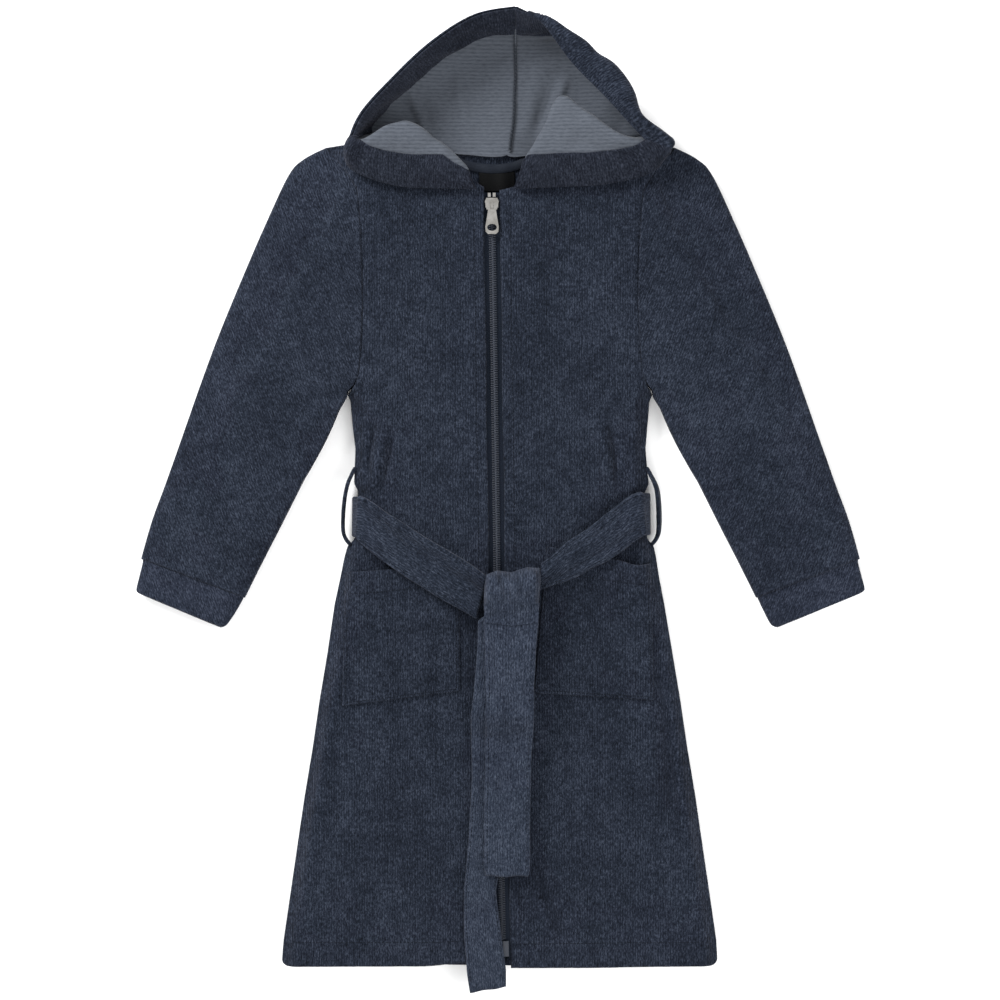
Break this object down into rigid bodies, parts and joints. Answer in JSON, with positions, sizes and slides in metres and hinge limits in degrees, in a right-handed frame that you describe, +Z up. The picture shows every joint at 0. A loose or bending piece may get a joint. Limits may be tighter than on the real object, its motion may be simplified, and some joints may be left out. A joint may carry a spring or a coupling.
{
  "type": "hooded bathrobe",
  "caption": "Child's hooded terry bathrobe with front zip, patch pockets and a tied belt, lying flat on its back.",
  "frame": {"origin": "middle of the footprint, on the floor that the robe lies on", "axes": "+X to the wearer's left, +Y from hem to hood, +Z up from the floor through the front of the robe"},
  "size_m": [0.6214, 0.8384, 0.055],
  "materials": {
    "robe_terry": "heathered navy terry with fine lengthwise ribs",
    "sleeve_terry": "the same terry, ribs along the sleeve",
    "cuff_terry": "the same terry, ribs across the cuff",
    "belt_terry": "the same terry, folded and flattened",
    "lining": "grey jersey with fine lines",
    "neck_tape": "smooth woven tape",
    "label": "black satin, blank",
    "zip_tape": "woven zip tape",
    "zip_coil": "nylon coil",
    "zip_metal": "nickel plate"
  },
  "bodies": {
    "torso": {"back_panel": "robe_terry", "back_skirt": "robe_terry", "back_side_left": "robe_terry", "back_side_right": "robe_terry", "front_panel_left": "robe_terry", "front_panel_right": "robe_terry", "front_side_left": "robe_terry", "front_side_right": "robe_terry", "pocket_left": "robe_terry", "pocket_right": "robe_terry", "belt_loop_left": "robe_terry", "belt_loop_right": "robe_terry", "belt_front_left": "belt_terry", "belt_front_right": "belt_terry", "belt_back": "belt_terry", "belt_knot": "belt_terry", "neck_tape": "neck_tape", "neck_label": "label", "zip_tape_left": "zip_tape", "zip_tape_right": "zip_tape", "zip_coil_left": "zip_coil", "zip_coil_right": "zip_coil", "zip_retainer_box": "zip_coil", "zip_insertion_pin": "zip_coil", "zip_top_stop_left": "zip_metal", "zip_top_stop_right": "zip_metal"},
    "zip_slider_body": {"zip_slider": "zip_metal"},
    "zip_pull": {"zip_pull_tab": "zip_metal"},
    "hood": {"hood_left": "robe_terry", "hood_right": "robe_terry", "hood_lining_left": "lining", "hood_lining_right": "lining"},
    "arm_left": {"sleeve_left": "sleeve_terry", "cuff_left": "cuff_terry"},
    "arm_right": {"sleeve_right": "sleeve_terry", "cuff_right": "cuff_terry"},
    "tail_front": {"belt_tail_front": "belt_terry"},
    "tail_back": {"belt_tail_back": "belt_terry"}
  },
  "joints": [
    {"name": "zip_slide", "type": "slide", "parent": "torso", "child": "zip_slider_body", "axis": [0.0141, -0.9999, 0], "range_m": [0, 0.27]},
    {"name": "pull_tab_flip", "type": "hinge", "parent": "zip_slider_body", "child": "zip_pull", "pos_m": [-0.00735, 0.2498, 0.0233], "axis": [-1, 0, 0], "range_deg": [0, 170]},
    {"name": "hood_fold", "type": "hinge", "parent": "torso", "child": "hood", "pos_m": [-0.0004, 0.2606, 0.023], "axis": [1, 0, 0], "range_deg": [0, 90]},
    {"name": "sleeve_left_swing", "type": "hinge", "parent": "torso", "child": "arm_left", "pos_m": [0.1491, 0.2981, 0.01075], "axis": [0, 0, 1], "range_deg": [0, 30]},
    {"name": "sleeve_right_swing", "type": "hinge", "parent": "torso", "child": "arm_right", "pos_m": [-0.1499, 0.2981, 0.01075], "axis": [0, 0, -1], "range_deg": [0, 30]},
    {"name": "tail_front_swing", "type": "hinge", "parent": "torso", "child": "tail_front", "pos_m": [0.0096, -0.0954, 0.0426], "axis": [0, 0, 1], "range_deg": [-8, 8]},
    {"name": "tail_back_swing", "type": "hinge", "parent": "torso", "child": "tail_back", "pos_m": [0.0096, -0.0954, 0.0336], "axis": [0, 0, 1], "range_deg": [-8, 8]}
  ]
}
